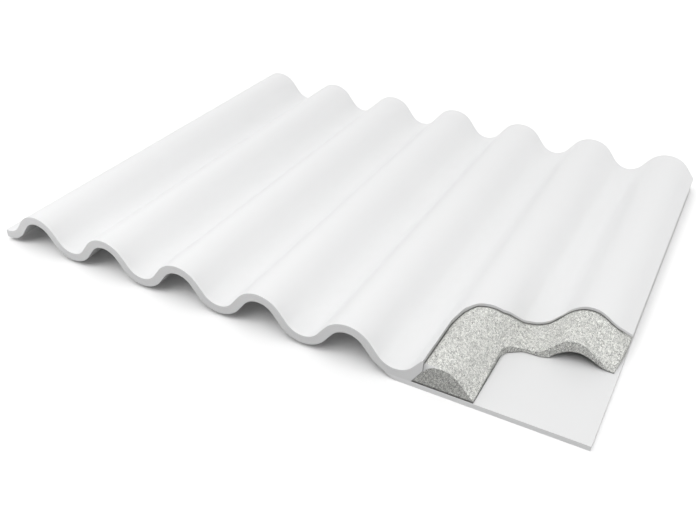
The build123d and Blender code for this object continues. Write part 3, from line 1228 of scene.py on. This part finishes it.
class ROOFSHEET_OT_base(bpy.types.Operator):
    """Lay the flat base sheet"""

    bl_idname = "roof_sheet.base"
    bl_label = "Base sheet"

    def execute(self, context):
        settings, layout = settings_of(context)
        base = settings.base
        left, front, low = BASE_LOW
        right, far, high = BASE_HIGH
        back = front + base.setback
        angle = layout.foot_angle
        radius = (high - low) / (1.0 - math.cos(angle))
        toe = layout.foot_left + radius * math.sin(angle)
        under = []
        for turn in np.linspace(0.0, angle, BEND_POINTS):
            rise = radius * (1.0 - math.cos(turn))
            under.append((toe - radius * math.sin(turn), min(low + rise, high - base.tip)))
        tip = layout.foot_left
        places = [
            (left, back, high),
            (tip, back, high),
            (tip, front, high),
            (layout.step_start, front, high),
            (right, front, high),
            (right, far, high),
            (left, far, high),
            (left, back, low),
            (right, front, low),
            (right, far, low),
            (left, far, low),
        ]
        count = len(under)
        near = list(range(len(places), len(places) + count))
        inner = list(range(len(places) + count, len(places) + 2 * count))
        places += [(x, front, z) for x, z in under] + [(x, back, z) for x, z in under]
        faces = [
            (0, 1, 2, 3, 4, 5, 6),
            (2, *reversed(near), 8, 4, 3),
            (7, *inner, 1, 0),
            (2, 1, inner[-1], near[-1]),
            (7, 10, 9, 8, near[0], inner[0]),
            (8, 9, 5, 4),
            (9, 10, 6, 5),
            (10, 7, 0, 6),
        ]
        faces += [(near[i], near[i + 1], inner[i + 1], inner[i]) for i in range(count - 1)]
        piece = new_piece("flat_base", places, faces)
        finish = plastic_finish("satin_white_base", base.tone, mottle=0.02, shine=0.45, painted_shading_scale=1.0)
        piece.data.materials.append(finish)
        piece.data.shade_smooth()

        def plain(spot):
            """True where the base meets the foot of the top sheet."""
            return spot.z > high - base.tip - 0.0001 and spot.x < layout.step_start - 0.0001

        def share(spot):
            """Full rounding for the edges on the floor."""
            return 1.0 if spot.z < low + 0.0002 else base.edge / base.foot

        eased(piece, base.foot, angle=40, plain=plain, share=share)
        sawn = piece.data.attributes.new("sawn", "FLOAT", "FACE")
        for number, face in enumerate(piece.data.polygons):
            # Painted shadow: the rounded edges on the floor are drawn darker, as a contact shadow
            at_foot = face.center.z < low + base.foot and face.normal.z > -0.99
            # Painted light: the front face is drawn paler
            front_light_value = -base.front_painted_light if face.normal.y < -0.9 else 0.0
            sawn.data[number].value = base.foot_painted_shadow if at_foot else front_light_value
        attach(piece, "root")
        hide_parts("flat_base_sheet")
        return {"FINISHED"}


# Stage


def shown_to_eye(tree):
    """1 for rays from the camera and for mirrored or refracted ones, 0 for the light that falls on things."""
    path = wires(tree, "ShaderNodeLightPath")
    mirrored = calc("MAXIMUM", path["Is Glossy Ray"], path["Is Transmission Ray"])
    return calc("MAXIMUM", path["Is Camera Ray"], mirrored)


class ROOFSHEET_OT_stage(bpy.types.Operator):
    """Set the floor, the soft light and the camera"""

    bl_idname = "roof_sheet.stage"
    bl_label = "Stage"

    def execute(self, context):
        stage = context.scene.roof_sheet.stage
        self.lay_floor(stage)
        self.light(context.scene, stage)
        self.place_camera(context.scene)
        context.scene.view_settings.view_transform = "Standard"
        return {"FINISHED"}

    def lay_floor(self, stage):
        """Wide pale floor that keeps the shadow, with a painted glow for the camera that lightens it below
        and before the part and washes it out beside, behind and further in front.
        """
        reach = 30.0
        side_fade = 0.03
        front_fade = (0.12, 0.30)
        corners = [(-reach, -reach, 0.0), (reach, -reach, 0.0), (reach, reach, 0.0), (-reach, reach, 0.0)]
        floor = new_piece("floor", corners, [(0, 1, 2, 3)])
        material, tree, shader = new_material("pale_floor")
        tree.nodes.remove(shader)
        across, along, _ = split(wire(tree, "ShaderNodeTexCoord", output="Object"))
        low, high = CAD_BOX
        sides = calc("MAXIMUM", across - high[0], low[0] - across)
        beside = soft_step(calc("MAXIMUM", sides, along - high[1]), 0.0, side_fade)
        clear = calc("MAXIMUM", beside, soft_step(low[1] - along, *front_fade))
        bounce = mixed(beside, (*stage.floor_bounce, 1.0), (*stage.side_bounce, 1.0))
        eye = shown_to_eye(tree)
        tint = mixed(eye, bounce, (*stage.floor, 1.0))
        matt = wire(tree, "ShaderNodeBsdfDiffuse", {"Color": tint})
        # Painted light: glow seen only by the camera, weak below and just before the part, strong elsewhere
        level = clear * (stage.floor_clear - stage.floor_lift) + stage.floor_lift
        glow = wire(tree, "ShaderNodeEmission", {"Strength": level * eye})
        whole = wire(tree, "ShaderNodeAddShader", {0: matt, 1: glow})
        feed(tree, tree.nodes["Material Output"].inputs["Surface"], whole)
        floor.data.materials.append(material)
        floor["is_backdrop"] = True

    def light(self, scene, stage):
        """Even light from all round and a few soft lamps."""
        world = bpy.data.worlds.new("soft_room")
        world.use_nodes = True
        tree = world.node_tree
        back = tree.nodes["Background"]
        back.inputs["Color"].default_value = (1.0, 1.0, 1.0, 1.0)
        feed(tree, back.inputs["Strength"], shown_to_eye(tree) * (1.0 - stage.sky) + stage.sky)
        scene.world = world
        for name, round_about, up, strength, away in LAMPS:
            lamp = bpy.data.lights.new(name, "AREA" if away else "SUN")
            lamp.energy = strength * stage.lamps
            if away:
                lamp.shape = "DISK"
                lamp.size = stage.near_size
            else:
                lamp.angle = stage.softness
            turn = math.radians(round_about)
            rise = math.radians(up)
            flat = math.cos(rise)
            towards = Vector((math.sin(turn) * flat, -math.cos(turn) * flat, math.sin(rise)))
            holder = bpy.data.objects.new(name, lamp)
            holder.rotation_mode = "QUATERNION"
            holder.rotation_quaternion = towards.to_track_quat("Z", "Y")
            holder.location = towards * away
            holder.visible_camera = False
            scene.collection.objects.link(holder)

    def place_camera(self, scene):
        """Camera to the right of the front edge, looking down along the waves."""
        pitch, yaw, roll = 0.593339, 0.488179, 0.010372
        spot = (0.559455, -1.126527, 0.742949)
        focal_pixels = 799.3937
        picture_width = 700.0
        right = Vector((math.cos(yaw), math.sin(yaw), 0.0))
        ahead = Vector((-math.sin(yaw), math.cos(yaw), 0.0))
        view = ahead * math.cos(pitch) - Vector((0.0, 0.0, math.sin(pitch)))
        up = ahead * math.sin(pitch) + Vector((0.0, 0.0, math.cos(pitch)))
        turned_right = right * math.cos(roll) + up * math.sin(roll)
        turned_up = up * math.cos(roll) - right * math.sin(roll)
        lens = bpy.data.cameras.new("camera")
        lens.sensor_fit = "HORIZONTAL"
        lens.sensor_width = 36.0
        lens.lens = focal_pixels / picture_width * lens.sensor_width
        lens.clip_start = 0.05
        lens.clip_end = 100.0
        camera = bpy.data.objects.new("camera", lens)
        turn = Matrix((turned_right, turned_up, -view)).transposed()
        camera.matrix_world = Matrix.Translation(spot) @ turn.to_4x4()
        scene.collection.objects.link(camera)
        scene.camera = camera


class ROOFSHEET_PT_panel(bpy.types.Panel):
    """Sidebar panel with the settings and the makers of each piece."""

    bl_idname = "ROOFSHEET_PT_panel"
    bl_label = "Roof sheet"
    bl_space_type = "VIEW_3D"
    bl_region_type = "UI"
    bl_category = "Roof sheet"

    def draw(self, context):
        settings = context.scene.roof_sheet
        rows = (
            ("roof_sheet.top_sheet", settings.sheet),
            ("roof_sheet.core", settings.core),
            ("roof_sheet.base", settings.base),
            ("roof_sheet.stage", settings.stage),
        )
        for maker, group in rows:
            box = self.layout.box()
            box.operator(maker)
            for name in group.__annotations__:
                box.prop(group, name)


CLASSES = (
    SheetSettings,
    CoreSettings,
    BaseSettings,
    StageSettings,
    RoofSheetSettings,
    ROOFSHEET_OT_top_sheet,
    ROOFSHEET_OT_core,
    ROOFSHEET_OT_base,
    ROOFSHEET_OT_stage,
    ROOFSHEET_PT_panel,
)


def register():
    for item in CLASSES:
        bpy.utils.register_class(item)
    bpy.types.Scene.roof_sheet = bpy.props.PointerProperty(type=RoofSheetSettings)


def unregister():
    del bpy.types.Scene.roof_sheet
    for item in reversed(CLASSES):
        bpy.utils.unregister_class(item)


def main():
    register()
    bpy.ops.roof_sheet.base()
    bpy.ops.roof_sheet.core()
    bpy.ops.roof_sheet.top_sheet()
    bpy.ops.roof_sheet.stage()
    boxes = {"cad": CAD_BOX, "visual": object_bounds()}
    {name: [list(corner) for corner in box] for name, box in boxes.items()}


if __name__ == "__main__":
    main()
